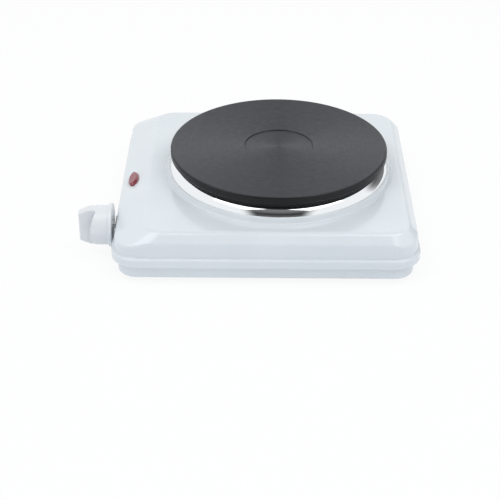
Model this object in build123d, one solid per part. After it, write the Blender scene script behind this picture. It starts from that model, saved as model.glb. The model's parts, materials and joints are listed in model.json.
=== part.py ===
from build123d import *
import os
from math import atan2, cos, sin, tan

# Single electric hot plate. Millimetres, X to the right as seen from the front, Y to the rear, Z up.
# The origin is on the table under the middle of the whole object, knob included.

# Painted steel case
SHEET = 0.8
DECK_SIDE_MARGIN = 13.0
DECK_FRONT_MARGIN = 13.5
DECK_REAR_MARGIN = 8.0
WALL_CORNER = 20.0
WALL_HEIGHT = 13.2
DECK_CORNER = 18.0
SIDE_SLOPE_RUN = 7.1
SIDE_SLOPE_DROP = 7.5
FRONT_SLOPE_RUN = 23.6
FRONT_SLOPE_DROP = 10.0
DECK_EDGE_ROUND = 6.0
WALL_EDGE_ROUND = 3.0
HEM_HEIGHT = 8.0
HEM_STEP = 2.7
HEM_INNER_ROUND = 1.0
HEM_EDGE_ROUND = 1.5
HEM_ROUND = 1.5
HEM_RETURN = 2.0

# Tray under the case, with its vents, feet and posts
TRAY_SIDE_INSET = 2.6
TRAY_END_INSET = 5.5
TRAY_CORNER = 16.0
TRAY_SHOW = 10.8
TRAY_LAP = 5.5
TRAY_ROUND = 3.0
VENT_LENGTH = 34.0
VENT_WIDTH = 3.5
VENT_PITCH = 11.0
VENT_ROWS = 6
VENT_COLUMN_OFFSET = 24.0
FOOT_HEIGHT = 4.0
FOOT_RADIUS = 10.0
FOOT_TAPER = 1.0
FOOT_WEB = 1.4
POST_RADIUS = 4.0
POST_BORE_DEPTH = 14.0
POST_SIDE_SETBACK = 31.7
POST_FRONT_SETBACK = 41.0
POST_REAR_SETBACK = 29.0
FOOT_SCREW_RADIUS = 2.0
FOOT_SCREW_HEAD_RADIUS = 3.6
FOOT_SCREW_HEAD = 2.0
FOOT_SCREW_GRIP = 12.0

# Cast iron plate and its chrome ring, on the collar of the case
PLATE_RADIUS = 92.5
SLAB_THICKNESS = 7.0
SLAB_ROUND = 1.5
NECK_INSET = 4.5
NECK_HEIGHT = 4.6
SPIGOT_INSET = 8.8
SPIGOT_DEPTH = 6.1
RECESS_RADIUS = 29.4
RECESS_DEPTH = 0.8
RECESS_FLANK = 0.6
COLLAR_BASE_MARGIN = 4.4
COLLAR_TOP_MARGIN = 2.1
COLLAR_RISE = 4.7
COLLAR_FOOT_ROUND = 2.0
COLLAR_TOP_ROUND = 1.2
OPENING_INSET = 3.0
RING_SHEET = 0.6
RING_RISE = 6.0
RING_OUTER_MARGIN = 0.9
RING_SHOULDER_INSET = 3.8
RING_BULGE = 0.6

# Heater in the plate's underside
COIL_RADIUS = 2.5
COIL_START = 30.0
COIL_PITCH = 17.0
COIL_HALF_TURNS = 5
GROOVE_WIDTH = 10.0
GROOVE_DEPTH = 7.0
COIL_RISE = 3.7
PIN_RADIUS = 1.5
PIN_DROP = 6.0
BEAD_RADIUS = 4.0
BEAD_DROP = 8.0
COVER_SHEET = 0.8
COVER_INSET = 2.0

# What pulls the plate down on the case
STUD_RADIUS = 3.0
STUD_GRIP = 9.7
STUD_TAIL = 1.5
SPACER_WALL = 2.0
REFLECTOR_SHEET = 0.5
REFLECTOR_RIM = 4.0
REFLECTOR_RIM_RUN = 2.0
BRIDGE_SHEET = 1.5
BRIDGE_WIDTH = 22.0
BRIDGE_FLANGE = 8.0
BRIDGE_BEARING = 11.0
BRIDGE_ANGLE = 45.0
WASHER_RADIUS = 6.5
WASHER_THICKNESS = 1.2
NUT_ACROSS = 10.0
NUT_HEIGHT = 5.0

# Control knob, seen from its flange towards the grip
KNOB_SIDE_SETBACK = 49.5
KNOB_ABOVE_HEM = 11.9
KNOB_GAP = 0.6
KNOB_LENGTH = 27.9
FLANGE_RADIUS = 18.3
FLANGE_THICKNESS = 3.0
FLANGE_ROUND = 1.0
BARREL_RADIUS = 16.5
SHOULDER_RADIUS = 16.2
SHOULDER_HEIGHT = 19.0
NOSE_RADIUS = 12.8
NOSE_ROUND = 1.5
GRIP_WIDTH = 9.0
SCOOP_FLOOR = 12.5
SCOOP_RIM = 17.4
SCOOP_ROUND = 1.5
POINTER_WIDTH = 1.4
POINTER_LENGTH = 7.0
POINTER_DEPTH = 0.6
POINTER_INSET = 2.7
POCKET_FLOOR = 6.0
POCKET_WALL = 1.8
POCKET_ROUND = 1.0
BORE_LEAD = 2.0
CLIP_THICKNESS = 0.5
CLIP_WIDTH = 2.4
CLIP_LENGTH = 9.0

# Thermostat behind the front wall
SHAFT_RADIUS = 3.0
SHAFT_FLAT = 2.2
SHAFT_INTO_KNOB = 18.0
SHAFT_INTO_BODY = 12.0
FLAT_RUNOUT = 1.0
RUNNING_FIT = 0.05
BRACKET_SHEET = 1.5
BRACKET_ABOVE = 4.5
BRACKET_BELOW = 6.0
BODY_BEHIND_WALL = 6.5
THERMOSTAT_WIDTH = 33.0
THERMOSTAT_DEPTH = 23.0
THERMOSTAT_HEIGHT = 16.0
THERMOSTAT_AXIS_ABOVE = 10.0
THERMOSTAT_CHAMFER = 1.5
BUSH_WALL = 1.2
TAB_WIDTH = 6.3
TAB_THICKNESS = 0.8
TAB_LENGTH = 8.0
TAB_PITCH = 8.0
FIXING_SPACING = 20.0
FIXING_RADIUS = 1.5
FIXING_HEAD_RADIUS = 2.6
FIXING_HEAD = 1.6
FIXING_LENGTH = 6.0
NOTCH_MARGIN = 2.0

# Pilot lamp on the front slope
LAMP_X = 13.0
LAMP_SETBACK = 10.0
LENS_LENGTH = 22.0
LENS_WIDTH = 9.5
LENS_RISE = 2.8
LENS_CHAMFER = 1.3
LENS_LEDGE = 1.5
LENS_STEM = 11.0
LENS_WALL = 1.0
BULB_RADIUS = 1.9
BULB_LENGTH = 6.5
BULB_DEPTH = 4.0
PILOT_CLIP_SHEET = 0.5
PILOT_CLIP_MARGIN = 3.5

# Mains connection at the rear of the tray
BLOCK_SIDE_SETBACK = 59.7
BLOCK_SETBACK = 34.0
BLOCK_WIDTH = 30.0
BLOCK_DEPTH = 17.0
BLOCK_HEIGHT = 15.0
BLOCK_EAR = 8.0
BLOCK_EAR_HEIGHT = 5.0
POLE_PITCH = 9.0
POLE_HEIGHT = 7.2
POLE_HOLE_RADIUS = 2.0
POLE_SCREW_RADIUS = 2.2
POLE_SCREW_LENGTH = 4.0
POLE_SCREW_INSET = 4.5
POLE_WELL_DEPTH = 5.0
GLAND_ABOVE_FLOOR = 7.2
GLAND_BORE = 3.4
GLAND_WALL = 1.2
GLAND_FLANGE = 0.6
GLAND_FLANGE_THICKNESS = 2.2
GLAND_TAIL = 7.0
EARTH_SIDE_SETBACK = 29.7
EARTH_SETBACK = 54.0
EARTH_HEAD_RADIUS = 3.5
EARTH_HEAD = 1.5
EARTH_STUD_LENGTH = 9.0
EARTH_RING_RADIUS = 5.0
EARTH_RING_SHEET = 1.0
EARTH_NUT_ACROSS = 7.0
EARTH_NUT_HEIGHT = 3.2
LEAD_RADIUS = 1.4
LAMP_LEAD_RADIUS = 0.9
LEAD_INSERTION = 4.0
LEAD_BEND = 5.0

# Cross recesses of the screws
DRIVE_MARGIN = 1.3
DRIVE_WIDTH = 0.9
DRIVE_DEPTH = 0.9

# Clearances
SLIP = 0.1
HOLE_EASE = 0.3
FILL_GAP = 0.05
TINY = 0.01

# Places worked out from the sizes above
KNOB_REACH = KNOB_GAP + KNOB_LENGTH
COLLAR_BASE_RADIUS = PLATE_RADIUS + COLLAR_BASE_MARGIN
HALF_WIDTH = COLLAR_BASE_RADIUS + DECK_SIDE_MARGIN + SIDE_SLOPE_RUN + HEM_STEP
FRONT_REACH = COLLAR_BASE_RADIUS + DECK_FRONT_MARGIN + FRONT_SLOPE_RUN + HEM_STEP
REAR_REACH = COLLAR_BASE_RADIUS + DECK_REAR_MARGIN + SIDE_SLOPE_RUN + HEM_STEP
PLATE_Y = (KNOB_REACH + FRONT_REACH - REAR_REACH) / 2
FRONT_Y = PLATE_Y - FRONT_REACH
REAR_Y = PLATE_Y + REAR_REACH
BODY_Y = (FRONT_Y + REAR_Y) / 2
FLOOR_Z = FOOT_HEIGHT + SHEET
HEM_Z = FOOT_HEIGHT + TRAY_SHOW
HEM_TOP = HEM_Z + HEM_HEIGHT
DECK_Z = HEM_TOP + WALL_HEIGHT + SIDE_SLOPE_DROP
DECK_UNDER = DECK_Z - SHEET
COLLAR_Z = DECK_Z + COLLAR_RISE
SEAT_Z = COLLAR_Z + RING_RISE
SLAB_Z = SEAT_Z + NECK_HEIGHT
PLATE_TOP = SLAB_Z + SLAB_THICKNESS
PLATE_UNDER = SEAT_Z - SPIGOT_DEPTH
COVER_Z = PLATE_UNDER - COVER_SHEET
REFLECTOR_TOP = DECK_UNDER + REFLECTOR_SHEET
WEB_UNDER = DECK_UNDER - BRIDGE_SHEET
COLLAR_TOP_RADIUS = PLATE_RADIUS + COLLAR_TOP_MARGIN
OPENING_RADIUS = PLATE_RADIUS - OPENING_INSET
NECK_RADIUS = PLATE_RADIUS - NECK_INSET
SPIGOT_RADIUS = PLATE_RADIUS - SPIGOT_INSET
COIL_Z = PLATE_UNDER + COIL_RISE
KNOB_X = HALF_WIDTH - KNOB_SIDE_SETBACK
KNOB_Z = HEM_Z + KNOB_ABOVE_HEM
WALL_HALF = HALF_WIDTH - HEM_STEP
WALL_FRONT = FRONT_Y + HEM_STEP
WALL_REAR = REAR_Y - HEM_STEP
WALL_INSIDE = WALL_FRONT + SHEET
HEM_CORNER = WALL_CORNER + HEM_STEP
THERMOSTAT_FRONT = WALL_FRONT + BODY_BEHIND_WALL
THERMOSTAT_REAR = THERMOSTAT_FRONT + THERMOSTAT_DEPTH
TAB_END = THERMOSTAT_REAR + TAB_LENGTH
TRAY_FRONT = FRONT_Y + TRAY_END_INSET
TRAY_REAR = REAR_Y - TRAY_END_INSET
TRAY_HALF = HALF_WIDTH - TRAY_SIDE_INSET
TRAY_RIM = HEM_Z + TRAY_LAP
BLOCK_X = HALF_WIDTH - BLOCK_SIDE_SETBACK
BLOCK_Y = REAR_Y - BLOCK_SETBACK
BLOCK_FRONT = BLOCK_Y - BLOCK_DEPTH / 2
POLE_Z = FLOOR_Z + POLE_HEIGHT
GLAND_Z = FOOT_HEIGHT + GLAND_ABOVE_FLOOR
EARTH_X = HALF_WIDTH - EARTH_SIDE_SETBACK
EARTH_Y = REAR_Y - EARTH_SETBACK
SIDE_SLOPE_ANGLE = atan2(SIDE_SLOPE_DROP, SIDE_SLOPE_RUN)
FRONT_SLOPE_ANGLE = atan2(FRONT_SLOPE_DROP, FRONT_SLOPE_RUN)
POST_X = HALF_WIDTH - POST_SIDE_SETBACK
FRONT_POST_Y = FRONT_Y + POST_FRONT_SETBACK
REAR_POST_Y = REAR_Y - POST_REAR_SETBACK
CORNERS = {
    "front_left": (-POST_X, FRONT_POST_Y),
    "front_right": (POST_X, FRONT_POST_Y),
    "rear_left": (-POST_X, REAR_POST_Y),
    "rear_right": (POST_X, REAR_POST_Y),
}
ON_BASE = (Align.CENTER, Align.CENTER, Align.MIN)
UNDER_TOP = (Align.CENTER, Align.CENTER, Align.MAX)

# Local frames: Z of the knob frame points at the user, Z of the lamp frame out of the slope
PLATE_AXIS = Pos(0, PLATE_Y, 0)
WALL_FRAME = Plane((KNOB_X, WALL_FRONT, KNOB_Z), x_dir=(1, 0, 0), z_dir=(0, -1, 0))
KNOB_FRAME = Plane((KNOB_X, FRONT_Y - KNOB_GAP, KNOB_Z), x_dir=(1, 0, 0), z_dir=(0, -1, 0))
LAMP_Z = DECK_Z - FRONT_SLOPE_DROP * (FRONT_SLOPE_RUN - LAMP_SETBACK) / FRONT_SLOPE_RUN
LAMP_FRAME = Plane(
    (LAMP_X, WALL_FRONT + LAMP_SETBACK, LAMP_Z),
    x_dir=(1, 0, 0),
    z_dir=(0, -sin(FRONT_SLOPE_ANGLE), cos(FRONT_SLOPE_ANGLE)),
)
GLAND_FRAME = Plane((BLOCK_X, TRAY_REAR, GLAND_Z), x_dir=(-1, 0, 0), z_dir=(0, 1, 0))


def disc(radius, height, x, y, z):
    """Upright cylinder that stands on z."""
    return Pos(x, y, z) * Cylinder(radius, height, align=ON_BASE)


def hexagon(across, height, x, y, z):
    """Upright hexagonal prism that stands on z."""
    outline = RegularPolygon(across / 2, 6, major_radius=False)
    return Pos(x, y, z) * extrude(outline, height)


def drive_recess(head_radius):
    """Cross for a screwdriver, sunk below z = 0 in a head of the given radius."""
    arm = Box(2 * (head_radius - DRIVE_MARGIN), DRIVE_WIDTH, DRIVE_DEPTH, align=UNDER_TOP)
    return arm + Rot(0, 0, 90) * arm


def turned(points):
    """Body of revolution about the plate's axis from (radius, height) points."""
    outline = make_face(Polyline([(r, 0, z) for r, z in points], close=True))
    return PLATE_AXIS * revolve(outline, Axis.Z)


def rounded_plan(half_width, front, rear, corner, z):
    """Rounded rectangle at height z, from the front line to the rear line."""
    return Pos(0, (front + rear) / 2, z) * RectangleRounded(2 * half_width, rear - front, corner)


def edges_between(form, low, high):
    """Edges of a form that lie wholly between two heights."""
    boxes = [(e, e.bounding_box()) for e in form.edges()]
    return [e for e, box in boxes if box.min.Z > low + TINY and box.max.Z < high - TINY]


def edges_at(form, z):
    """Edges of a form that lie wholly at one height."""
    return edges_between(form, z - 2 * TINY, z + 2 * TINY)


def roof_form(inset):
    """Filled form under the deck and its slopes, down to the hem's level."""
    deck = DECK_Z - inset
    side_shift = inset * tan(SIDE_SLOPE_ANGLE / 2)
    half = WALL_HALF - SIDE_SLOPE_RUN - side_shift
    front = WALL_FRONT + FRONT_SLOPE_RUN + inset * tan(FRONT_SLOPE_ANGLE / 2)
    rear = WALL_REAR - SIDE_SLOPE_RUN - side_shift
    side_growth = (deck - HEM_Z) / tan(SIDE_SLOPE_ANGLE)
    front_growth = (deck - HEM_Z) / tan(FRONT_SLOPE_ANGLE)
    top = rounded_plan(half, front, rear, DECK_CORNER, deck)
    base = rounded_plan(
        half + side_growth, front - front_growth, rear + side_growth, DECK_CORNER + side_growth, HEM_Z
    )
    return loft([base, top], ruled=True)


def case_form(inset):
    """Filled form of the case, with every face moved inward by inset."""
    deck = DECK_Z - inset
    hem = HEM_Z + inset
    hem_top = HEM_TOP - inset
    wall_plan = rounded_plan(
        WALL_HALF - inset, WALL_FRONT + inset, WALL_REAR - inset, WALL_CORNER - inset, hem
    )
    hem_plan = rounded_plan(HALF_WIDTH - inset, FRONT_Y + inset, REAR_Y - inset, HEM_CORNER - inset, hem)
    form = extrude(wall_plan, deck - hem) & roof_form(inset)
    form = fillet(edges_between(form, hem_top, deck), WALL_EDGE_ROUND - inset)
    form = fillet(form.faces().sort_by(Axis.Z)[-1].outer_wire().edges(), DECK_EDGE_ROUND - inset)
    band = extrude(hem_plan, hem_top - hem)
    band = fillet(edges_at(band, hem_top), HEM_EDGE_ROUND - inset)
    band = fillet(edges_at(band, hem), HEM_ROUND - inset)
    form += band
    return fillet(edges_at(form, hem_top), HEM_INNER_ROUND + inset)


def collar_form(inset):
    """Filled form of the collar that rises from the deck around the plate."""
    cone = Cone(COLLAR_BASE_RADIUS - inset, COLLAR_TOP_RADIUS - inset, COLLAR_RISE, align=ON_BASE)
    return PLATE_AXIS * Pos(0, 0, DECK_Z - inset) * cone


def edge_circle(form, radius):
    """Circular edges of a form that have the given radius."""
    return [e for e in form.edges().filter_by(GeomType.CIRCLE) if abs(e.radius - radius) < TINY]


def lens_oval(margin):
    """Oval outline of the lens's stem, grown by margin."""
    return Ellipse(LENS_LENGTH / 2 - LENS_LEDGE + margin, LENS_WIDTH / 2 - LENS_LEDGE + margin)


def fixing_places():
    """Places of the thermostat's two screws in the wall frame."""
    return [Pos(side * FIXING_SPACING / 2, 0, 0) for side in (-1, 1)]


def top_housing():
    outer = case_form(0) + collar_form(0)
    outer = fillet(edge_circle(outer, COLLAR_BASE_RADIUS), COLLAR_FOOT_ROUND)
    outer = fillet(edge_circle(outer, COLLAR_TOP_RADIUS), COLLAR_TOP_ROUND)
    case = outer - (case_form(SHEET) + collar_form(SHEET))
    hem_opening = rounded_plan(
        HALF_WIDTH - HEM_RETURN, FRONT_Y + HEM_RETURN, REAR_Y - HEM_RETURN, HEM_CORNER - HEM_RETURN, HEM_Z
    )
    case -= extrude(hem_opening, HEM_RETURN)
    case -= disc(OPENING_RADIUS, COLLAR_RISE, 0, PLATE_Y, DECK_Z)
    case -= LAMP_FRAME * extrude(lens_oval(HOLE_EASE), LENS_RISE, both=True)
    case -= WALL_FRAME * Cylinder(SHAFT_RADIUS + HOLE_EASE, 2 * WALL_EDGE_ROUND)
    for place in fixing_places():
        case -= WALL_FRAME * place * Cylinder(FIXING_RADIUS + SLIP, 2 * WALL_EDGE_ROUND)
    return case


def tray_form(inset, rim):
    """Filled form of the tray, with walls and floor moved inward by inset."""
    floor = FOOT_HEIGHT + inset
    outline = rounded_plan(
        TRAY_HALF - inset, TRAY_FRONT + inset, TRAY_REAR - inset, TRAY_CORNER - inset, floor
    )
    form = extrude(outline, rim - floor)
    return fillet(form.faces().sort_by(Axis.Z)[0].outer_wire().edges(), TRAY_ROUND - inset)


def base_tray():
    tray = tray_form(0, TRAY_RIM) - tray_form(SHEET, TRAY_RIM + SHEET)
    notch_width = THERMOSTAT_WIDTH + 2 * BRACKET_SHEET + 2 * NOTCH_MARGIN
    notch_depth = TRAY_RIM - KNOB_Z + BRACKET_BELOW + NOTCH_MARGIN
    notch = Box(notch_width, 2 * TRAY_END_INSET, notch_depth, align=UNDER_TOP)
    tray -= Pos(KNOB_X, TRAY_FRONT, TRAY_RIM) * notch
    tray -= GLAND_FRAME * Cylinder(GLAND_BORE + GLAND_WALL + SLIP, 2 * TRAY_ROUND)
    slots = GridLocations(2 * VENT_COLUMN_OFFSET, VENT_PITCH, 2, VENT_ROWS)
    slot = extrude(SlotOverall(VENT_LENGTH, VENT_WIDTH), SHEET)
    tray -= [Pos(0, BODY_Y, FOOT_HEIGHT) * place * slot for place in slots]
    for x, y in CORNERS.values():
        tray -= disc(FOOT_SCREW_RADIUS + SLIP, SHEET, x, y, FOOT_HEIGHT)
    for x in block_ears():
        tray -= disc(FIXING_RADIUS, SHEET, x, BLOCK_Y, FOOT_HEIGHT)
    return tray


def corner_posts():
    length = DECK_UNDER - FLOOR_Z
    posts = []
    for x, y in CORNERS.values():
        post = disc(POST_RADIUS, length, x, y, FLOOR_Z)
        posts.append(post - disc(FOOT_SCREW_RADIUS + SLIP / 2, POST_BORE_DEPTH, x, y, FLOOR_Z))
    return posts


def foot(x, y):
    rubber = Cone(FOOT_RADIUS - FOOT_TAPER, FOOT_RADIUS, FOOT_HEIGHT, align=ON_BASE)
    well = Cylinder(FOOT_SCREW_HEAD_RADIUS + HOLE_EASE, FOOT_HEIGHT - FOOT_WEB, align=ON_BASE)
    hole = Cylinder(FOOT_SCREW_RADIUS + SLIP, FOOT_HEIGHT, align=ON_BASE)
    return Pos(x, y, 0) * (rubber - well - hole)


def foot_screws():
    shoulder = FOOT_HEIGHT - FOOT_WEB
    screws = []
    for x, y in CORNERS.values():
        under = shoulder - FOOT_SCREW_HEAD
        head = disc(FOOT_SCREW_HEAD_RADIUS, FOOT_SCREW_HEAD, x, y, under)
        head -= Pos(x, y, under) * Rot(180, 0, 0) * drive_recess(FOOT_SCREW_HEAD_RADIUS)
        shank = disc(FOOT_SCREW_RADIUS, FOOT_WEB + SHEET + FOOT_SCREW_GRIP, x, y, shoulder)
        screws.append(head + shank)
    return screws


def coil_path():
    """Spiral of half circles about two centres, with its ends on the front to rear line."""
    arcs = []
    for turn in range(COIL_HALF_TURNS):
        side = turn % 2
        centre = side * COIL_PITCH / 2
        radius = COIL_START + turn * COIL_PITCH / 2
        start_angle = 90 if side == 0 else 270
        arcs.append(CenterArc((0, centre), radius, start_angle, 180))
    return PLATE_AXIS * Pos(0, 0, COIL_Z) * Wire(arcs)


def coil_ends():
    """Plan places of the spiral's inner and outer end."""
    outer = COIL_START + (COIL_HALF_TURNS - 1) * COIL_PITCH / 2
    return [(0, PLATE_Y + COIL_START), (0, PLATE_Y - outer)]


def along_coil(section):
    """Section swept along the spiral, with the section's Y pointing up."""
    path = coil_path()
    start = Plane(path @ 0, x_dir=(0, -1, 0), z_dir=path % 0)
    return sweep(start * section, path)


def heater_groove(inset):
    """Groove for the heater in the plate's underside, with its walls moved inward by inset."""
    width = GROOVE_WIDTH - 2 * inset
    depth = GROOVE_DEPTH - inset
    section = Pos(0, -COIL_RISE) * Rectangle(width, depth, align=(Align.CENTER, Align.MIN))
    groove = along_coil(section)
    for x, y in coil_ends():
        groove += disc(width / 2, depth, x, y, PLATE_UNDER)
    return groove


def heating_coil():
    return along_coil(Circle(COIL_RADIUS))


def pin_places():
    """Plan places of the terminal pins, beside the cut ends of the coil."""
    (inner_x, inner_y), (outer_x, outer_y) = coil_ends()
    return [(inner_x + PIN_RADIUS, inner_y), (outer_x + PIN_RADIUS, outer_y)]


def plate_terminals():
    bottom = DECK_UNDER - PIN_DROP
    return [disc(PIN_RADIUS, COIL_Z + COIL_RADIUS - bottom, x, y, bottom) for x, y in pin_places()]


def insulating_fill():
    fill = heater_groove(FILL_GAP) - along_coil(Circle(COIL_RADIUS + FILL_GAP))
    for x, y in pin_places():
        fill -= disc(PIN_RADIUS + FILL_GAP, GROOVE_DEPTH, x, y, PLATE_UNDER)
    return fill


def hot_plate():
    plate = turned(
        [
            (0, PLATE_UNDER),
            (SPIGOT_RADIUS, PLATE_UNDER),
            (SPIGOT_RADIUS, SEAT_Z),
            (NECK_RADIUS, SEAT_Z),
            (NECK_RADIUS, SLAB_Z),
            (PLATE_RADIUS, SLAB_Z),
            (PLATE_RADIUS, PLATE_TOP),
            (RECESS_RADIUS, PLATE_TOP),
            (RECESS_RADIUS - RECESS_FLANK, PLATE_TOP - RECESS_DEPTH),
            (0, PLATE_TOP - RECESS_DEPTH),
        ]
    )
    plate = fillet(edge_circle(plate, PLATE_RADIUS), SLAB_ROUND)
    plate -= disc(STUD_RADIUS + SLIP / 2, STUD_GRIP, 0, PLATE_Y, PLATE_UNDER)
    return plate - heater_groove(0)


def ring_flank(start, end):
    """Flank of the ring from its shoulder down to its rim, with an outward bulge."""
    run = end[0] - start[0]
    drop = start[1] - end[1]
    slant = (run**2 + drop**2) ** 0.5
    middle_r = (start[0] + end[0]) / 2 + RING_BULGE * drop / slant
    middle_z = (start[1] + end[1]) / 2 + RING_BULGE * run / slant
    return ThreePointArc((start[0], 0, start[1]), (middle_r, 0, middle_z), (end[0], 0, end[1]))


def trim_ring():
    bore = SPIGOT_RADIUS + HOLE_EASE
    shoulder = PLATE_RADIUS - RING_SHOULDER_INSET
    rim = PLATE_RADIUS + RING_OUTER_MARGIN
    lean = atan2(RING_RISE, rim - shoulder)
    under = SEAT_Z - RING_SHEET
    inner_shoulder = shoulder - RING_SHEET * tan(lean / 2)
    inner_rim = rim - RING_SHEET / sin(lean)
    outline = Polyline((inner_shoulder, 0, under), (bore, 0, under), (bore, 0, SEAT_Z), (shoulder, 0, SEAT_Z))
    outline += ring_flank((shoulder, SEAT_Z), (rim, COLLAR_Z))
    outline += Line((rim, 0, COLLAR_Z), (inner_rim, 0, COLLAR_Z))
    outline += ring_flank((inner_shoulder, under), (inner_rim, COLLAR_Z))
    return PLATE_AXIS * revolve(make_face(outline), Axis.Z)


def plate_cover():
    cover = disc(SPIGOT_RADIUS - COVER_INSET, COVER_SHEET, 0, PLATE_Y, COVER_Z)
    cover -= disc(STUD_RADIUS + SLIP, COVER_SHEET, 0, PLATE_Y, COVER_Z)
    for x, y in pin_places():
        cover -= disc(BEAD_RADIUS + SLIP, COVER_SHEET, x, y, COVER_Z)
    return cover


def terminal_beads():
    beads = []
    for x, y in pin_places():
        bead = disc(BEAD_RADIUS, BEAD_DROP, x, y, PLATE_UNDER - BEAD_DROP)
        beads.append(bead - disc(PIN_RADIUS + SLIP, BEAD_DROP, x, y, PLATE_UNDER - BEAD_DROP))
    return beads


def centre_stud():
    bottom = WEB_UNDER - WASHER_THICKNESS - NUT_HEIGHT - STUD_TAIL
    return disc(STUD_RADIUS, PLATE_UNDER + STUD_GRIP - bottom, 0, PLATE_Y, bottom)


def stud_spacer():
    length = COVER_Z - REFLECTOR_TOP
    sleeve = disc(STUD_RADIUS + SLIP + SPACER_WALL, length, 0, PLATE_Y, REFLECTOR_TOP)
    return sleeve - disc(STUD_RADIUS + SLIP, length, 0, PLATE_Y, REFLECTOR_TOP)


def heat_reflector():
    rim = OPENING_RADIUS - REFLECTOR_RIM_RUN
    hole = STUD_RADIUS + SLIP
    dish = turned(
        [
            (hole, DECK_UNDER),
            (rim - REFLECTOR_RIM_RUN, DECK_UNDER),
            (rim, DECK_UNDER + REFLECTOR_RIM),
            (rim - REFLECTOR_SHEET, DECK_UNDER + REFLECTOR_RIM),
            (rim - REFLECTOR_RIM_RUN - REFLECTOR_SHEET, REFLECTOR_TOP),
            (hole, REFLECTOR_TOP),
        ]
    )
    for x, y in pin_places():
        dish -= disc(BEAD_RADIUS + HOLE_EASE, REFLECTOR_SHEET, x, y, DECK_UNDER)
    return dish


def clamp_bridge():
    length = 2 * (COLLAR_BASE_RADIUS + BRIDGE_BEARING)
    web = Box(length, BRIDGE_WIDTH, BRIDGE_SHEET + BRIDGE_FLANGE, align=UNDER_TOP)
    trough = Box(length, BRIDGE_WIDTH - 2 * BRIDGE_SHEET, BRIDGE_FLANGE, align=UNDER_TOP)
    bar = web - Pos(0, 0, -BRIDGE_SHEET) * trough
    bar -= Cylinder(STUD_RADIUS + SLIP, 2 * BRIDGE_SHEET)
    return PLATE_AXIS * Pos(0, 0, DECK_UNDER) * Rot(0, 0, BRIDGE_ANGLE) * bar


def stud_washer():
    bottom = WEB_UNDER - WASHER_THICKNESS
    washer = disc(WASHER_RADIUS, WASHER_THICKNESS, 0, PLATE_Y, bottom)
    return washer - disc(STUD_RADIUS + SLIP, WASHER_THICKNESS, 0, PLATE_Y, bottom)


def stud_nut():
    bottom = WEB_UNDER - WASHER_THICKNESS - NUT_HEIGHT
    nut = hexagon(NUT_ACROSS, NUT_HEIGHT, 0, PLATE_Y, bottom)
    return nut - disc(STUD_RADIUS + SLIP / 2, NUT_HEIGHT, 0, PLATE_Y, bottom)


def shaft_section(radius, flat):
    """Circle cut by the flat on its upper side."""
    cut = Pos(0, flat) * Rectangle(2 * radius, radius, align=(Align.CENTER, Align.MIN))
    return Circle(radius) - cut


def knob_scoop():
    """Wedge cut away on the right of the grip bar for a finger."""
    side = GRIP_WIDTH / 2
    beyond = FLANGE_RADIUS
    slope = (SCOOP_RIM - SCOOP_FLOOR) / (BARREL_RADIUS - side)
    corner = (side, SCOOP_FLOOR)
    outline = Polyline(
        corner,
        (beyond, SCOOP_FLOOR + slope * (beyond - side)),
        (beyond, KNOB_LENGTH + beyond),
        (side, KNOB_LENGTH + beyond),
        close=True,
    )
    section = make_face(outline)
    section = fillet(section.vertices().sort_by_distance(corner)[0], SCOOP_ROUND)
    return extrude(Plane.XZ * section, beyond, both=True)


def pointer_groove(inset):
    """Groove along the upper end of the grip bar's front, with its walls moved inward by inset."""
    groove = Box(
        POINTER_WIDTH - 2 * inset,
        POINTER_LENGTH - 2 * inset,
        POINTER_DEPTH,
        align=(Align.CENTER, Align.MIN, Align.MAX),
    )
    lower_end = NOSE_RADIUS - POINTER_INSET - POINTER_LENGTH
    return Pos(0, lower_end + inset, KNOB_LENGTH) * groove


def knob_pockets():
    """Hollows of the barrel on both sides of the grip bar."""
    bar = Rectangle(GRIP_WIDTH, 2 * BARREL_RADIUS)
    halves = Circle(SHOULDER_RADIUS - POCKET_WALL) - bar
    pockets = extrude(halves, KNOB_LENGTH - POCKET_FLOOR)
    pockets = fillet(pockets.edges().filter_by(Axis.Z), POCKET_ROUND)
    return Pos(0, 0, POCKET_FLOOR) * pockets


def knob():
    outline = Polyline(
        (0, 0, 0),
        (FLANGE_RADIUS, 0, 0),
        (FLANGE_RADIUS, 0, FLANGE_THICKNESS),
        (BARREL_RADIUS, 0, FLANGE_THICKNESS),
        (SHOULDER_RADIUS, 0, SHOULDER_HEIGHT),
        (NOSE_RADIUS, 0, KNOB_LENGTH),
        (0, 0, KNOB_LENGTH),
        close=True,
    )
    body = revolve(make_face(outline), Axis.Z)
    body = fillet(edge_circle(body, FLANGE_RADIUS), FLANGE_ROUND)
    scoop = knob_scoop()
    body -= [scoop, mirror(scoop, Plane.YZ)]
    body = fillet(body.faces().sort_by(Axis.Z)[-1].edges(), NOSE_ROUND)
    body -= knob_pockets()
    bore = shaft_section(SHAFT_RADIUS + RUNNING_FIT, SHAFT_FLAT + CLIP_THICKNESS + 2 * RUNNING_FIT)
    body -= extrude(bore, SHAFT_INTO_KNOB + HOLE_EASE)
    body -= Cylinder(SHAFT_RADIUS + HOLE_EASE, BORE_LEAD, align=ON_BASE)
    return KNOB_FRAME * (body - pointer_groove(0))


def knob_pointer():
    return KNOB_FRAME * pointer_groove(FILL_GAP)


def knob_clip():
    leaf = Box(CLIP_WIDTH, CLIP_THICKNESS, CLIP_LENGTH, align=(Align.CENTER, Align.MIN, Align.MAX))
    return KNOB_FRAME * Pos(0, SHAFT_FLAT + RUNNING_FIT, SHAFT_INTO_KNOB) * leaf


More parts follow.
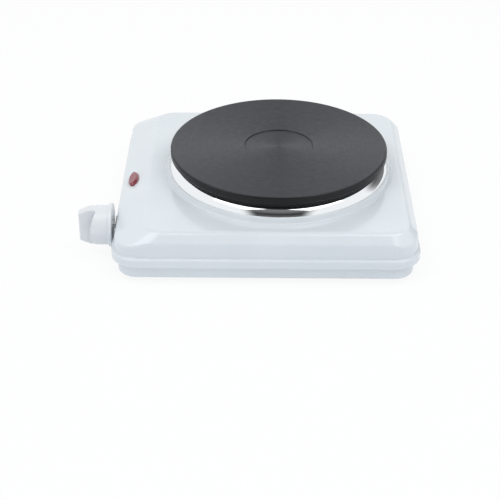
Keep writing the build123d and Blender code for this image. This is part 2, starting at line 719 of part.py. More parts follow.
def thermostat_shaft():
    rear = THERMOSTAT_FRONT + SHAFT_INTO_BODY
    tip = FRONT_Y - KNOB_GAP - SHAFT_INTO_KNOB
    rod = Cylinder(SHAFT_RADIUS, rear - tip, align=UNDER_TOP)
    flat_length = SHAFT_INTO_KNOB - BORE_LEAD + FLAT_RUNOUT
    flat = Box(2 * SHAFT_RADIUS, SHAFT_RADIUS, flat_length, align=(Align.CENTER, Align.MIN, Align.MAX))
    return KNOB_FRAME * Pos(0, 0, SHAFT_INTO_KNOB) * (rod - Pos(0, SHAFT_FLAT, 0) * flat)


def thermostat_bracket():
    outside = THERMOSTAT_WIDTH + 2 * BRACKET_SHEET
    legs = THERMOSTAT_FRONT + THERMOSTAT_DEPTH / 2 - WALL_INSIDE
    height = BRACKET_ABOVE + BRACKET_BELOW
    channel = Box(outside, legs, height, align=(Align.CENTER, Align.MIN, Align.MIN))
    inside = Box(THERMOSTAT_WIDTH, legs, height, align=(Align.CENTER, Align.MIN, Align.MIN))
    channel -= Pos(0, BRACKET_SHEET, 0) * inside
    bracket = Pos(KNOB_X, WALL_INSIDE, KNOB_Z - BRACKET_BELOW) * channel
    bracket -= WALL_FRAME * Cylinder(SHAFT_RADIUS + HOLE_EASE, 2 * BODY_BEHIND_WALL)
    for place in fixing_places():
        bracket -= WALL_FRAME * place * Cylinder(FIXING_RADIUS + SLIP / 2, 2 * BODY_BEHIND_WALL)
    return bracket


def thermostat_body():
    block = Box(
        THERMOSTAT_WIDTH, THERMOSTAT_DEPTH, THERMOSTAT_HEIGHT, align=(Align.CENTER, Align.MIN, Align.MIN)
    )
    block = chamfer(block.edges().filter_by(Axis.Y), THERMOSTAT_CHAMFER)
    block = Pos(KNOB_X, THERMOSTAT_FRONT, KNOB_Z - THERMOSTAT_AXIS_ABOVE) * block
    bore = Cylinder(SHAFT_RADIUS + RUNNING_FIT, SHAFT_INTO_BODY + HOLE_EASE, align=UNDER_TOP)
    return block - WALL_FRAME * Pos(0, 0, -BODY_BEHIND_WALL) * bore


def shaft_bush():
    length = THERMOSTAT_FRONT - WALL_INSIDE - BRACKET_SHEET
    bush = Cylinder(SHAFT_RADIUS + RUNNING_FIT + BUSH_WALL, length, align=ON_BASE)
    bush -= Cylinder(SHAFT_RADIUS + RUNNING_FIT, length, align=ON_BASE)
    return WALL_FRAME * Pos(0, 0, -BODY_BEHIND_WALL) * bush


def tab_places():
    """Places where the thermostat's three tabs end, from left to right."""
    return [(KNOB_X + step * TAB_PITCH, TAB_END, KNOB_Z) for step in (-1, 0, 1)]


def thermostat_tabs():
    tab = Box(TAB_THICKNESS, TAB_LENGTH, TAB_WIDTH, align=(Align.CENTER, Align.MAX, Align.CENTER))
    return [Pos(*place) * tab for place in tab_places()]


def thermostat_screws():
    head = Cylinder(FIXING_HEAD_RADIUS, FIXING_HEAD, align=ON_BASE)
    head -= Pos(0, 0, FIXING_HEAD) * drive_recess(FIXING_HEAD_RADIUS)
    shank = Cylinder(FIXING_RADIUS, FIXING_LENGTH, align=UNDER_TOP)
    return [WALL_FRAME * place * (head + shank) for place in fixing_places()]


def pilot_lens():
    cap = extrude(lens_oval(LENS_LEDGE), LENS_RISE)
    cap = chamfer(cap.faces().sort_by(Axis.Z)[-1].edges(), LENS_CHAMFER)
    stem = extrude(lens_oval(0), -LENS_STEM)
    hollow = extrude(lens_oval(-LENS_WALL), -LENS_STEM - LENS_WALL)
    return LAMP_FRAME * (cap + stem - Pos(0, 0, LENS_WALL) * hollow)


def pilot_lamp():
    bulb = Rot(0, 90, 0) * Cylinder(BULB_RADIUS, BULB_LENGTH)
    return LAMP_FRAME * Pos(0, 0, -BULB_DEPTH) * bulb


def pilot_clip():
    outline = RectangleRounded(
        LENS_LENGTH + PILOT_CLIP_MARGIN, LENS_WIDTH + PILOT_CLIP_MARGIN, PILOT_CLIP_MARGIN / 2
    )
    plate = extrude(outline - lens_oval(SLIP), -PILOT_CLIP_SHEET)
    return LAMP_FRAME * Pos(0, 0, -SHEET) * plate


def block_ears():
    """X places of the terminal block's two ears."""
    return [BLOCK_X + side * (BLOCK_WIDTH + BLOCK_EAR) / 2 for side in (-1, 1)]


def pole_places():
    """X places of the three poles: neutral, live and earth."""
    return [BLOCK_X + step * POLE_PITCH for step in (-1, 0, 1)]


def pole_screw_places():
    """Plan places of the two screws of each pole."""
    reach = BLOCK_DEPTH / 2 - POLE_SCREW_INSET
    return [(x, BLOCK_Y + side * reach) for x in pole_places() for side in (-1, 1)]


def terminal_block():
    block = Pos(BLOCK_X, BLOCK_Y, FLOOR_Z) * Box(BLOCK_WIDTH, BLOCK_DEPTH, BLOCK_HEIGHT, align=ON_BASE)
    for x in block_ears():
        block += Pos(x, BLOCK_Y, FLOOR_Z) * Box(BLOCK_EAR, BLOCK_DEPTH, BLOCK_EAR_HEIGHT, align=ON_BASE)
        block -= disc(FIXING_RADIUS + SLIP, BLOCK_EAR_HEIGHT, x, BLOCK_Y, FLOOR_Z)
    for x in pole_places():
        block -= Pos(x, BLOCK_Y, POLE_Z) * Rot(90, 0, 0) * Cylinder(POLE_HOLE_RADIUS, BLOCK_DEPTH)
    well = FLOOR_Z + BLOCK_HEIGHT - POLE_WELL_DEPTH
    for x, y in pole_screw_places():
        block -= disc(POLE_SCREW_RADIUS + SLIP, POLE_WELL_DEPTH, x, y, well)
    return block


def terminal_screws():
    well = FLOOR_Z + BLOCK_HEIGHT - POLE_WELL_DEPTH
    screw = Cylinder(POLE_SCREW_RADIUS, POLE_SCREW_LENGTH, align=UNDER_TOP) - drive_recess(POLE_SCREW_RADIUS)
    return [Pos(x, y, well + POLE_SCREW_LENGTH) * screw for x, y in pole_screw_places()]


def block_screws():
    seat = FLOOR_Z + BLOCK_EAR_HEIGHT
    screws = []
    for x in block_ears():
        head = disc(FIXING_HEAD_RADIUS, FIXING_HEAD, x, BLOCK_Y, seat)
        head -= Pos(x, BLOCK_Y, seat + FIXING_HEAD) * drive_recess(FIXING_HEAD_RADIUS)
        length = BLOCK_EAR_HEIGHT + SHEET
        screws.append(head + disc(FIXING_RADIUS - SLIP, length, x, BLOCK_Y, seat - length))
    return screws


def cord_gland():
    barrel = GLAND_BORE + GLAND_WALL
    flange = Cylinder(barrel + GLAND_FLANGE, GLAND_FLANGE_THICKNESS, align=ON_BASE)
    tail = Cylinder(barrel, GLAND_TAIL, align=UNDER_TOP)
    bore = Cylinder(GLAND_BORE, 2 * (GLAND_TAIL + GLAND_FLANGE_THICKNESS))
    return GLAND_FRAME * (flange + tail - bore)


def earth_stud():
    head = disc(EARTH_HEAD_RADIUS, EARTH_HEAD, EARTH_X, EARTH_Y, FLOOR_Z)
    return head + disc(FOOT_SCREW_RADIUS, EARTH_STUD_LENGTH, EARTH_X, EARTH_Y, FLOOR_Z)


def earth_nut():
    bottom = FLOOR_Z + EARTH_HEAD + EARTH_RING_SHEET
    nut = hexagon(EARTH_NUT_ACROSS, EARTH_NUT_HEIGHT, EARTH_X, EARTH_Y, bottom)
    return nut - disc(FOOT_SCREW_RADIUS + SLIP / 2, EARTH_NUT_HEIGHT, EARTH_X, EARTH_Y, bottom)


def lead(points, radius):
    """Insulated wire along straight runs with rounded bends."""
    path = FilletPolyline(*points, radius=LEAD_BEND)
    return sweep((path ^ 0) * Circle(radius), path)


def live_lead():
    x, y, z = tab_places()[2]
    pole = pole_places()[1]
    return lead(
        [
            (x, y, z),
            (x, y + 22, z),
            (x - 4, y + 47, POLE_Z),
            (pole, BLOCK_FRONT - 36, POLE_Z),
            (pole, BLOCK_FRONT + LEAD_INSERTION, POLE_Z),
        ],
        LEAD_RADIUS,
    )


def load_lead():
    x, y, z = tab_places()[0]
    pin_x, pin_y = pin_places()[1]
    low = z - 7
    return lead(
        [
            (x, y, z),
            (x, y + 17, z),
            (pin_x + 25, pin_y, low),
            (pin_x, pin_y, low),
            (pin_x, pin_y, DECK_UNDER - PIN_DROP),
        ],
        LEAD_RADIUS,
    )


def neutral_lead():
    pole = pole_places()[0]
    pin_x, pin_y = pin_places()[0]
    return lead(
        [
            (pole, BLOCK_FRONT + LEAD_INSERTION, POLE_Z),
            (pole, BLOCK_FRONT - 21, POLE_Z),
            (pin_x + 20, pin_y, POLE_Z + 2),
            (pin_x, pin_y, POLE_Z + 8),
            (pin_x, pin_y, DECK_UNDER - PIN_DROP),
        ],
        LEAD_RADIUS,
    )


def earth_lead():
    pole = pole_places()[2]
    ring_z = FLOOR_Z + EARTH_HEAD
    ring = disc(EARTH_RING_RADIUS, EARTH_RING_SHEET, EARTH_X, EARTH_Y, ring_z)
    ring -= disc(FOOT_SCREW_RADIUS + SLIP, EARTH_RING_SHEET, EARTH_X, EARTH_Y, ring_z)
    wire_z = FLOOR_Z + EARTH_HEAD + EARTH_RING_SHEET / 2
    wire = lead(
        [
            (pole, BLOCK_FRONT + LEAD_INSERTION, POLE_Z),
            (pole, EARTH_Y, POLE_Z),
            (EARTH_X - 12, EARTH_Y, wire_z),
            (EARTH_X - EARTH_RING_RADIUS + SLIP, EARTH_Y, wire_z),
        ],
        LEAD_RADIUS,
    )
    return [wire + ring]


def lamp_leads():
    contact = BULB_RADIUS + BULB_DEPTH
    stem_end = LENS_STEM + LENS_WALL

    def from_lamp(x, depth):
        place = LAMP_FRAME.from_local_coords((x, 0, -depth))
        return (place.X, place.Y, place.Z)

    spread = BULB_LENGTH / 3
    x, y, z = tab_places()[1]
    pin_x, pin_y = pin_places()[0]
    to_thermostat = lead(
        [
            from_lamp(spread, contact),
            from_lamp(spread, stem_end),
            (x - 28, y + 8, z - 9),
            (x, y + 18, z),
            (x, y, z),
        ],
        LAMP_LEAD_RADIUS,
    )
    to_neutral = lead(
        [
            from_lamp(-spread, contact),
            from_lamp(-spread, stem_end),
            (LAMP_X - spread, FRONT_Y + 41, POLE_Z + 2),
            (pin_x - 14, pin_y - 15, POLE_Z + 2),
            (pin_x - 14, pin_y, POLE_Z + 8),
            (pin_x - 14, pin_y, DECK_UNDER - PIN_DROP + 2),
            (pin_x - PIN_RADIUS, pin_y, DECK_UNDER - PIN_DROP + 2),
        ],
        LAMP_LEAD_RADIUS,
    )
    return [to_thermostat, to_neutral]


def nodes():
    """Every node's name with its solid or its list of solids."""
    made = {
        "top_housing": top_housing(),
        "base_tray": base_tray(),
        "corner_posts": corner_posts(),
        "foot_screws": foot_screws(),
        "hot_plate": hot_plate(),
        "trim_ring": trim_ring(),
        "heating_coil": heating_coil(),
        "insulating_fill": insulating_fill(),
        "plate_terminals": plate_terminals(),
        "terminal_beads": terminal_beads(),
        "plate_cover": plate_cover(),
        "centre_stud": centre_stud(),
        "stud_spacer": stud_spacer(),
        "heat_reflector": heat_reflector(),
        "clamp_bridge": clamp_bridge(),
        "stud_washer": stud_washer(),
        "stud_nut": stud_nut(),
        "knob": knob(),
        "knob_pointer": knob_pointer(),
        "knob_clip": knob_clip(),
        "thermostat_shaft": thermostat_shaft(),
        "thermostat_bracket": thermostat_bracket(),
        "thermostat_body": thermostat_body(),
        "shaft_bush": shaft_bush(),
        "thermostat_tabs": thermostat_tabs(),
        "thermostat_screws": thermostat_screws(),
        "pilot_lens": pilot_lens(),
        "pilot_lamp": pilot_lamp(),
        "pilot_clip": pilot_clip(),
        "terminal_block": terminal_block(),
        "terminal_screws": terminal_screws(),
        "block_screws": block_screws(),
        "cord_gland": cord_gland(),
        "earth_stud": earth_stud(),
        "earth_nut": earth_nut(),
        "live_lead": live_lead(),
        "load_lead": load_lead(),
        "neutral_lead": neutral_lead(),
        "earth_lead": earth_lead(),
        "lamp_leads": lamp_leads(),
    }
    for name, (x, y) in CORNERS.items():
        made["foot_" + name] = foot(x, y)
    return made


os.makedirs("parts", exist_ok=True)
for name, shape in nodes().items():
    if isinstance(shape, list):
        shape = Compound(children=[Compound(children=[part]) for part in shape])
    export_step(shape, f"parts/{name}.step")
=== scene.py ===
# %% [markdown]
# # An electric hot plate, dressed for the studio
# The shapes of this hot plate come from its CAD model: a painted steel case on a tray, a cast iron plate
# in a chrome ring, a moulded knob and a red lamp lens. This lesson gives those shapes their finishes, and
# sets up a camera and a plain studio like that of a shop photograph. The CAD model is loaded first and is
# never moved, so all that is added here is measured from it.

# %% Load the CAD frame
import json
import math

import bpy
from mathutils import Matrix, Vector


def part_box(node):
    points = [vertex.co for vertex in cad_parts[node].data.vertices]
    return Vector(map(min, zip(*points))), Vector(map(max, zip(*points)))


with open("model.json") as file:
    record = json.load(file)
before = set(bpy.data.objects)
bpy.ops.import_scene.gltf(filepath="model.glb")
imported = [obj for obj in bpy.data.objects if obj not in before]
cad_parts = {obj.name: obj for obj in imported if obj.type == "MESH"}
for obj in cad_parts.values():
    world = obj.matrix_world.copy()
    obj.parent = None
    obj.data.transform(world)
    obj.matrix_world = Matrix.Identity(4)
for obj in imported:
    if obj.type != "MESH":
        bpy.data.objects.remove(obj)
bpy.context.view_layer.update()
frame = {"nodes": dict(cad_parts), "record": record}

nodes = frame["nodes"]

# %% [markdown]
# ## The places that the finishes are measured from
# A turned iron plate has marks that run round its own axis, so its finish needs that axis. It could be
# typed in, but the CAD node already knows it: the middle of the plate's box is its axis, and the top of
# the box is the cooking face. The camera's place is measured from the middle of that face as well.

# %% Find the plate's axis and cooking face
plate_low, plate_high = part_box("hot_plate")
plate_axis = (plate_low + plate_high) / 2
plate_face = Vector((plate_axis.x, plate_axis.y, plate_high.z))
print("plate face at", [round(1000 * c, 1) for c in plate_face], "mm")

# %% [markdown]
# ## Camera
# The part is seen from its right side, from about thirty degrees above, through a fairly long lens, so
# that the far edge of the case is only a little shorter than the near one. A camera could be aimed with a
# Track To constraint, but then its small tilt is out of reach. Here its three axes are built from a yaw,
# a pitch and a roll, and written into its matrix.

# %% Build the camera from its place, its aim and its focal length
CAMERA_FROM_FACE = Vector((1.04277, -0.02026, 0.53260))
CAMERA_YAW = -0.0038
CAMERA_PITCH = 0.5493
CAMERA_ROLL = 0.0049
SENSOR_MM = 36.0
FOCAL_MM = 98.14

aim = Vector(
    (
        -math.cos(CAMERA_YAW) * math.cos(CAMERA_PITCH),
        math.sin(CAMERA_YAW) * math.cos(CAMERA_PITCH),
        -math.sin(CAMERA_PITCH),
    )
)
level_right = aim.cross(Vector((0, 0, 1))).normalized()
level_up = level_right.cross(aim)
right = level_right * math.cos(CAMERA_ROLL) + level_up * math.sin(CAMERA_ROLL)
up = level_up * math.cos(CAMERA_ROLL) - level_right * math.sin(CAMERA_ROLL)

lens = bpy.data.cameras.new("studio_camera")
lens.sensor_fit = "HORIZONTAL"
lens.sensor_width = SENSOR_MM
lens.lens = FOCAL_MM
camera = bpy.data.objects.new("studio_camera", lens)
bpy.context.scene.collection.objects.link(camera)
turn = Matrix((right, up, -aim)).transposed().to_4x4()
camera.matrix_world = Matrix.Translation(plate_face + CAMERA_FROM_FACE) @ turn
bpy.context.scene.camera = camera
print("camera at", [round(c, 3) for c in camera.matrix_world.translation])

# %% [markdown]
# ## Small helpers for shader trees
# Floor, world and finishes are all trees of shader nodes. Blender's own calls for a tree take four or
# five lines for one sum, so three helpers shorten them: one makes a node with its settings, one does a
# sum, and one stretches a value from one range to another.

# %% Write the helpers for shader trees


def node(tree, kind, **settings):
    """New shader node with its settings made."""
    made = tree.nodes.new(kind)
    for name, value in settings.items():
        setattr(made, name, value)
    return made


def calculate(tree, operation, *values):
    """Result of a Math node; a value is an output of another node or a number."""
    made = node(tree, "ShaderNodeMath", operation=operation)
    for socket, value in zip(made.inputs, values):
        if isinstance(value, (int, float)):
            socket.default_value = value
        else:
            tree.links.new(value, socket)
    return made.outputs[0]


def between(tree, value, low, high, start=0.3, end=0.7, **settings):
    """A value from start to end, stretched to low to high."""
    made = node(tree, "ShaderNodeMapRange", **settings)
    made.inputs["From Min"].default_value = start
    made.inputs["From Max"].default_value = end
    made.inputs["To Min"].default_value = low
    made.inputs["To Max"].default_value = high
    tree.links.new(value, made.inputs["Value"])
    return made.outputs["Result"]


print("helpers for shader trees:", node.__name__, calculate.__name__, between.__name__)

# %% [markdown]
# ## Floor
# A shop photograph stands its object on white paper, here a cool white as brightened paper has. A white
# diffuse floor alone renders grey, because it is only as bright as its light. So for rays that come from
# the camera, from a mirror or through glass, most of the floor is a plain white glow of strength one, and
# the rest stays diffuse, which keeps the shadow. All other rays see only the diffuse paper, so the glow
# puts no extra light on the object.

# %% Mix the paper
PAPER_WHITE = (0.90, 0.92, 0.95)
PAPER_GLOW_SHARE = 0.90


def seen_directly(tree):
    """1 for camera, glossy and transmission rays, 0 for the rays that carry light between surfaces."""
    path = node(tree, "ShaderNodeLightPath").outputs
    in_mirror = calculate(tree, "MAXIMUM", path["Is Camera Ray"], path["Is Glossy Ray"])
    return calculate(tree, "MAXIMUM", in_mirror, path["Is Transmission Ray"])


paper = bpy.data.materials.new("white_paper")
paper.use_nodes = True
tree = paper.node_tree
tree.nodes.clear()
diffuse = node(tree, "ShaderNodeBsdfDiffuse")
diffuse.inputs["Color"].default_value = (*PAPER_WHITE, 1)
glow = node(tree, "ShaderNodeEmission")
glow.inputs["Color"].default_value = (1, 1, 1, 1)
glow.inputs["Strength"].default_value = 1.0
mix = node(tree, "ShaderNodeMixShader")
tree.links.new(calculate(tree, "MULTIPLY", seen_directly(tree), PAPER_GLOW_SHARE), mix.inputs[0])
tree.links.new(diffuse.outputs[0], mix.inputs[1])
tree.links.new(glow.outputs[0], mix.inputs[2])
tree.links.new(mix.outputs[0], node(tree, "ShaderNodeOutputMaterial").inputs["Surface"])
print("paper reflects", PAPER_WHITE, "of red, green and blue")

# %% [markdown]
# ## Laying the paper
# The paper lies level under the feet, at height zero. A studio curves its paper up behind the object to
# hide the horizon. Here the world is as white as the paper, so a flat sheet with its edges far away is
# enough.

# %% Lay the paper floor
FLOOR_HALF = 4.0

floor_mesh = bpy.data.meshes.new("paper_floor")
corners = [(-1, -1), (1, -1), (1, 1), (-1, 1)]
floor_mesh.from_pydata([(FLOOR_HALF * x, FLOOR_HALF * y, 0) for x, y in corners], [], [(0, 1, 2, 3)])
floor_mesh.materials.append(paper)
floor = bpy.data.objects.new("paper_floor", floor_mesh)
bpy.context.scene.collection.objects.link(floor)
print("floor is", 2 * FLOOR_HALF, "m wide")

# %% [markdown]
# ## The light tent
# The object stands in an evenly white tent, so that a colour renders about as it is written and no pale
# surface clips. In such a tent chrome has nothing dark to show and looks like grey paint, and a turned
# face has no sheen. A studio hangs a dark cloth over the camera for that. A modelled cloth would also
# shade the paint, so here it is a dark strip in the world, from the horizon behind the camera to over the
# object, with soft sides. A smaller dark card far on the right gives the ring's end a shade as well.

# %% Find the directions of the dark strip and the card
STRIP_HALF_WIDTH = 0.34
STRIP_SIDE_SOFTNESS = 0.24
STRIP_END = 0.58
CARD_TOWARDS = Vector((-0.64, 0.74, 0.20)).normalized()
CARD_SPREAD = 0.01
EDGE_SOFTNESS = 0.12

world = bpy.data.worlds.new("light_tent")
world.use_nodes = True
bpy.context.scene.world = world
tree = world.node_tree
tree.nodes.clear()


def fade(tree, value, start, softness):
    """1 where a value is below start, 0 where it is above by softness or more, smooth between."""
    return between(tree, value, 1, 0, start, start + softness, interpolation_type="SMOOTHSTEP")


direction = node(tree, "ShaderNodeTexCoord").outputs["Generated"]
towards = node(tree, "ShaderNodeSeparateXYZ")
tree.links.new(direction, towards.inputs[0])
sideways = calculate(tree, "ABSOLUTE", towards.outputs["Y"])
narrow = fade(tree, sideways, STRIP_HALF_WIDTH, STRIP_SIDE_SOFTNESS)
away_from_camera = calculate(tree, "MULTIPLY", towards.outputs["X"], -1.0)
before = fade(tree, away_from_camera, STRIP_END, EDGE_SOFTNESS)
strip = calculate(tree, "MULTIPLY", narrow, before)
along_card = node(tree, "ShaderNodeVectorMath", operation="DOT_PRODUCT")
along_card.inputs[1].default_value = CARD_TOWARDS
tree.links.new(direction, along_card.inputs[0])
off_card = calculate(tree, "SUBTRACT", 1.0, along_card.outputs["Value"])
card = fade(tree, off_card, CARD_SPREAD, EDGE_SOFTNESS)
dark = calculate(tree, "MAXIMUM", strip, card)
print("card hangs towards", [round(c, 2) for c in CARD_TOWARDS])

# %% [markdown]
# ## Brightness of the tent
# Rays that are seen directly meet a white of strength one. Only the glossy ones among them also meet the
# strip and the card, which are darkest at the camera's height. The rays that light the paint meet a
# dimmer tent, which leaves room for two lamps. View transform Standard is set here, because the filmic
# one would turn white paper grey.

# %% Light the tent
TENT_FILL = 0.66
DARKEST = 0.03
PALEST = 0.20
DARKEST_HEIGHT = 0.5
PALER_WITHIN = 0.3

off_height = calculate(tree, "ABSOLUTE", calculate(tree, "SUBTRACT", towards.outputs["Z"], DARKEST_HEIGHT))
loss = between(tree, off_height, DARKEST - 1, PALEST - 1, 0, PALER_WITHIN)
glossy = node(tree, "ShaderNodeLightPath").outputs["Is Glossy Ray"]
darkening = calculate(tree, "MULTIPLY", calculate(tree, "MULTIPLY", dark, glossy), loss)
white = between(tree, seen_directly(tree), TENT_FILL, 1, 0, 1)
sky = node(tree, "ShaderNodeBackground")
sky.inputs["Color"].default_value = (1, 1, 1, 1)
tree.links.new(calculate(tree, "ADD", white, darkening), sky.inputs["Strength"])
tree.links.new(sky.outputs[0], node(tree, "ShaderNodeOutputWorld").inputs["Surface"])
bpy.context.scene.view_settings.view_transform = "Standard"
print("tent fills with", TENT_FILL, "and has a strip from", DARKEST, "to", PALEST)

# %% [markdown]
# ## Two soft lamps
# Under an even tent alone the paint in front of the ring and on the step of the hem goes grey, because
# the pieces around it hide half of the tent. A photographer opens such places with a soft lamp on each
# side of the camera, hung high so that the deck stays brighter than the walls. The power follows from the
# share of the light that each lamp should add to a surface that faces it.

# %% Hang a soft lamp on each side of the camera
LAMP_SHARE = 0.225
LAMP_DISTANCE = 1.5
LAMP_SIZE = 0.9
LAMP_AZIMUTH = math.radians(60)
LAMP_ELEVATION = math.radians(63)

for name, side in (("soft_lamp_left", -1), ("soft_lamp_right", 1)):
    level = math.cos(LAMP_ELEVATION)
    away = Vector(
        (math.cos(LAMP_AZIMUTH) * level, side * math.sin(LAMP_AZIMUTH) * level, math.sin(LAMP_ELEVATION))
    )
    panel = bpy.data.lights.new(name, "AREA")
    panel.size = LAMP_SIZE
    panel.energy = LAMP_SHARE * (math.pi * LAMP_DISTANCE) ** 2
    lamp = bpy.data.objects.new(name, panel)
    aimed = away.to_track_quat("Z", "Y").to_matrix().to_4x4()
    lamp.matrix_world = Matrix.Translation(LAMP_DISTANCE * away) @ aimed
    bpy.context.scene.collection.objects.link(lamp)
    print(name, "at", [round(c, 2) for c in LAMP_DISTANCE * away], "with", round(panel.energy, 2), "W")

# %% [markdown]
# ## Helpers for the finishes
# Each finish is one Principled shader. Numbers that are the same all over a surface are set on the shader
# itself. What varies, such as grain, comes from textures in the piece's own coordinates, so it stays on
# the piece when that turns, and keeps its size in millimetres.

# %% Write the helpers for finishes
MM = 0.001


def finish(name, colour, roughness, **sockets):
    """New material with one Principled shader; returns the material, its tree and the shader."""
    made = bpy.data.materials.new(name)
    made.use_nodes = True
    tree = made.node_tree
    shader = tree.nodes["Principled BSDF"]
    shader.inputs["Base Color"].default_value = (*colour, 1)
    shader.inputs["Roughness"].default_value = roughness
    for socket, value in sockets.items():
        shader.inputs[socket.replace("_", " ")].default_value = value
    return made, tree, shader


def own_place(tree):
    """The piece's own coordinates, in metres."""
    return node(tree, "ShaderNodeTexCoord").outputs["Object"]


def grain(tree, size, detail=2.0):
    """Noise whose lumps are about size metres across, from 0 to 1."""
    made = node(tree, "ShaderNodeTexNoise")
    made.inputs["Scale"].default_value = 1.0 / size
    made.inputs["Detail"].default_value = detail
    tree.links.new(own_place(tree), made.inputs["Vector"])
    return made.outputs["Fac"]


def wear(material, *names):
    """Gives a finish to nodes, in place of what they came with."""
    for name in names:
        nodes[name].data.materials.clear()
        nodes[name].data.materials.append(material)
    print(material.name, "on", ", ".join(names))


print("one noise lump of 2 mm has scale", 1.0 / (2 * MM))

# %% [markdown]
# ## Tone, gloss and relief
# A real surface is never quite even. Three things wander: its tone, its gloss and its height. Painted
# pictures could show that, but they need unwrapping and blur up close. A noise that runs through the
# piece needs neither, so each of the three is a helper that leads a noise into one socket.

# %% Write the helpers for tone, gloss and relief


def blend_colours(tree, value, first, second):
    """Colour that goes from first to second as value goes from 0 to 1."""
    made = node(tree, "ShaderNodeMix", data_type="RGBA")
    made.inputs["A"].default_value = (*first, 1)
    made.inputs["B"].default_value = (*second, 1)
    tree.links.new(value, made.inputs["Factor"])
    return made.outputs["Result"]


def tint(tree, shader, size, first, second, detail=2.0):
    """Colour that wanders between two near tones, in patches of the given size."""
    tone = between(tree, grain(tree, size, detail), 0.0, 1.0)
    tree.links.new(blend_colours(tree, tone, first, second), shader.inputs["Base Color"])


def gloss(tree, shader, size, low, high, detail=2.0):
    """Roughness that wanders between two values, in patches of the given size."""
    tree.links.new(between(tree, grain(tree, size, detail), low, high), shader.inputs["Roughness"])


def bump(tree, shader, height, distance, strength):
    """Raises the surface by height times distance in the shading."""
    made = node(tree, "ShaderNodeBump")
    made.inputs["Strength"].default_value = strength
    made.inputs["Distance"].default_value = distance
    tree.links.new(height, made.inputs["Height"])
    tree.links.new(made.outputs["Normal"], shader.inputs["Normal"])


print("helpers that vary a finish:", tint.__name__, gloss.__name__, bump.__name__)

# %% [markdown]
# ## Stove enamel on the case
# The case and tray are sprayed with a cool white stove enamel. It is glossy, but not like glass: the film
# has the faint ripple that painters call orange peel, and its gloss and tone wander a little over the
# sheet. The ripple is a low bump of about two millimetres, and the wander is a broad noise in colour and
# roughness.

# %% Paint the case and the tray
enamel, tree, shader = finish(
    "stove_enamel", colour=(0.73, 0.78, 0.83), roughness=0.18, Coat_Weight=0.4, Coat_Roughness=0.08
)
tint(tree, shader, size=45 * MM, first=(0.710, 0.768, 0.814), second=(0.742, 0.800, 0.842))
gloss(tree, shader, size=12 * MM, low=0.15, high=0.22)
bump(tree, shader, grain(tree, size=2.2 * MM, detail=1.0), distance=0.02 * MM, strength=0.35)
wear(enamel, "top_housing", "base_tray")

# %% [markdown]
# ## Turned and coated cast iron
# The plate is coated black, and its face is then turned on a lathe, so it is paler there and keeps fine
# rings about its axis. The rings spread light across themselves, which shows as paler wedges that move
# with the viewer. Painted wedges would be wrong from any other side, so the shader's own anisotropy makes
# them. Its tangent runs round the axis, and a quarter turn of the anisotropy lays the spread across the
# rings.

# %% Give the plate a gloss that follows its rings
QUARTER_TURN = 0.25

iron, tree, shader = finish(
    "coated_iron",
    colour=(0.042, 0.045, 0.052),
    roughness=0.42,
    Anisotropic=0.8,
    Anisotropic_Rotation=QUARTER_TURN,
    Specular_IOR_Level=0.32,
)
about = node(tree, "ShaderNodeTangent", direction_type="RADIAL", axis="Z")
tree.links.new(about.outputs["Tangent"], shader.inputs["Tangent"])
gloss(tree, shader, size=4 * MM, low=0.38, high=0.48, detail=4.0)
print("anisotropy of the plate:", round(shader.inputs["Anisotropic"].default_value, 2))

# %% [markdown]
# ## Rings of the plate
# The lathe's rings differ a little in tone and height. Rings could be drawn in a picture and laid on the
# face. A noise of one dimension, which runs along the distance from the plate's axis, needs no picture and
# stays fine at any distance.

# %% Lay rings about the plate's axis
RING_SCALE = 900.0
RING_DETAIL = 3.0

shift = node(tree, "ShaderNodeVectorMath", operation="SUBTRACT")
shift.inputs[1].default_value = plate_face
tree.links.new(own_place(tree), shift.inputs[0])
flat = node(tree, "ShaderNodeVectorMath", operation="MULTIPLY")
flat.inputs[1].default_value = (1, 1, 0)
tree.links.new(shift.outputs["Vector"], flat.inputs[0])
radius = node(tree, "ShaderNodeVectorMath", operation="LENGTH")
tree.links.new(flat.outputs["Vector"], radius.inputs[0])
ring_noise = node(tree, "ShaderNodeTexNoise", noise_dimensions="1D")
ring_noise.inputs["Scale"].default_value = RING_SCALE
ring_noise.inputs["Detail"].default_value = RING_DETAIL
tree.links.new(radius.outputs["Value"], ring_noise.inputs["W"])
rings = ring_noise.outputs["Fac"]
print("rings change about every", round(1000 / RING_SCALE, 1), "mm")

# %% [markdown]
# ## Coat of the plate
# Only the face is turned. Where the surface doesn't face up, it keeps the black coat, so the tones of the
# rings are mixed in by how far the surface's own normal points up. A cast grain is added to the rings, and
# both together give the plate its low relief.

# %% Coat the plate
TURNED_FROM = 0.5
TURNED_FULLY = 0.9
BLACK_COAT = (0.005, 0.005, 0.006)

tone = between(tree, rings, 0.0, 1.0)
face_colour = blend_colours(tree, tone, first=(0.036, 0.039, 0.0455), second=(0.048, 0.051, 0.0585))
facing = node(tree, "ShaderNodeSeparateXYZ")
tree.links.new(node(tree, "ShaderNodeTexCoord").outputs["Normal"], facing.inputs[0])
turned_face = between(tree, facing.outputs["Z"], 0.0, 1.0, TURNED_FROM, TURNED_FULLY)
coat = node(tree, "ShaderNodeMix", data_type="RGBA")
coat.inputs["A"].default_value = (*BLACK_COAT, 1)
tree.links.new(face_colour, coat.inputs["B"])
tree.links.new(turned_face, coat.inputs["Factor"])
tree.links.new(coat.outputs["Result"], shader.inputs["Base Color"])
relief = calculate(tree, "ADD", rings, grain(tree, size=1.2 * MM, detail=3.0))
bump(tree, shader, relief, distance=0.03 * MM, strength=0.4)
wear(iron, "hot_plate")

# %% [markdown]
# ## Chrome
# The ring is rolled from thin steel and plated. Chrome is almost a mirror, so most of what shows on it is
# its surroundings. A very small wander in its gloss, as polishing leaves it, keeps it from looking like
# glass.

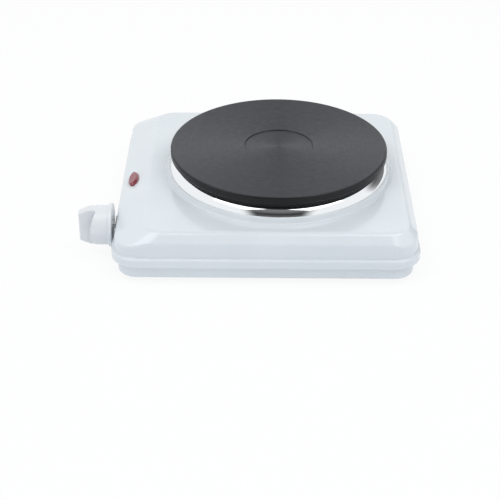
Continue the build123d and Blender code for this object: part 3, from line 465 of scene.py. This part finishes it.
# %% Plate the ring
chrome, tree, shader = finish("bright_chrome", colour=(0.86, 0.885, 0.905), roughness=0.05, Metallic=1.0)
gloss(tree, shader, size=6 * MM, low=0.03, high=0.09, detail=3.0)
wear(chrome, "trim_ring")

# %% [markdown]
# ## Moulded plastics
# The knob is moulded from white plastic with a fine spark finish, its pointer is a dark inlay, and the
# lens is moulded from red plastic. Unlit, such a lens looks dull, because little light comes back through
# it, so its colour is muted and its gloss does the rest.

# %% Mould the knob, its pointer and the lens
moulding, tree, shader = finish("knob_moulding", colour=(0.78, 0.815, 0.85), roughness=0.28)
tint(tree, shader, size=20 * MM, first=(0.75, 0.785, 0.82), second=(0.78, 0.815, 0.85))
bump(tree, shader, grain(tree, size=0.6 * MM), distance=0.02 * MM, strength=0.3)
wear(moulding, "knob")

ink, tree, shader = finish("pointer_ink", colour=(0.06, 0.06, 0.065), roughness=0.5)
gloss(tree, shader, size=0.8 * MM, low=0.42, high=0.6)
wear(ink, "knob_pointer")

red, tree, shader = finish(
    "red_lens", colour=(0.23, 0.022, 0.037), roughness=0.18, Coat_Weight=0.6, Coat_Roughness=0.04
)
tint(tree, shader, size=5 * MM, first=(0.205, 0.016, 0.030), second=(0.255, 0.028, 0.044))
wear(red, "pilot_lens")

# %% [markdown]
# ## Rubber, and a helper for the pieces inside
# The feet are plain black rubber, and the bush in the rear wall is a matt black moulding that looks the
# same. What such simple materials have in common is two near tones in a grain, and a relief a third of
# that grain's size, so one helper makes them all.

# %% Finish the feet and the bush
RELIEF_SHARE = 1 / 3
RELIEF_DEPTH_SHARE = 1 / 200
RELIEF_STRENGTH = 0.5


def plain(name, first, second, roughness, size, **sockets):
    """Finish of two near tones in a grain of the given size."""
    made, tree, shader = finish(name, first, roughness, **sockets)
    tint(tree, shader, size, first, second, detail=3.0)
    bump(tree, shader, grain(tree, size * RELIEF_SHARE), size * RELIEF_DEPTH_SHARE, RELIEF_STRENGTH)
    return made


rubber = plain("foot_rubber", (0.018, 0.018, 0.019), (0.030, 0.030, 0.031), roughness=0.75, size=2 * MM)
wear(rubber, "foot_front_left", "foot_front_right", "foot_rear_left", "foot_rear_right", "cord_gland")

# %% [markdown]
# ## Metals inside
# The steel pieces inside are zinc plated, the reflector is bright sheet, and the bush and tabs of the
# thermostat are brass. They are seen only through the vents underneath. Which pieces are steel stands in
# the part's record, so the names aren't typed again.

# %% Finish the metals inside
zinc = plain(
    "zinc_plate", (0.52, 0.53, 0.55), (0.64, 0.64, 0.63), roughness=0.34, size=4 * MM, Metallic=1.0
)
wear(zinc, *[s["node"] for s in frame["record"]["subparts"] if s["material_slot"] == "steel"])
sheet = plain(
    "bright_sheet", (0.76, 0.76, 0.77), (0.83, 0.83, 0.83), roughness=0.22, size=10 * MM, Metallic=1.0
)
wear(sheet, "heat_reflector")
brass = plain(
    "turned_brass", (0.60, 0.44, 0.20), (0.70, 0.53, 0.27), roughness=0.3, size=3 * MM, Metallic=1.0
)
wear(brass, "shaft_bush", "thermostat_tabs")

# %% [markdown]
# ## Insulators, glass and wiring
# The insulators are cream and unglazed. The lamp is a small glass bulb, but it is hidden behind the lens,
# so a pale glossy finish does and no light has to pass through it. The wires wear sleeves in the usual
# colours: brown for live, blue for neutral, green for earth and a pale one for the lamp.

# %% Finish the insulators, the lamp and the wires
SLEEVES = {
    "brown_sleeve": ((0.16, 0.07, 0.035), (0.20, 0.09, 0.045), ["live_lead", "load_lead"]),
    "blue_sleeve": ((0.04, 0.10, 0.34), (0.05, 0.13, 0.40), ["neutral_lead"]),
    "green_sleeve": ((0.05, 0.22, 0.06), (0.07, 0.28, 0.08), ["earth_lead"]),
    "pale_sleeve": ((0.66, 0.66, 0.63), (0.74, 0.74, 0.71), ["lamp_leads"]),
}

cream = plain("cream_insulator", (0.70, 0.66, 0.58), (0.78, 0.74, 0.66), roughness=0.6, size=3 * MM)
wear(cream, "insulating_fill", "terminal_beads", "thermostat_body", "terminal_block")
bulb = plain("lamp_glass", (0.85, 0.80, 0.74), (0.90, 0.86, 0.80), roughness=0.08, size=2 * MM)
wear(bulb, "pilot_lamp")
for name, (first, second, wires) in SLEEVES.items():
    wear(plain(name, first, second, roughness=0.5, size=MM), *wires)
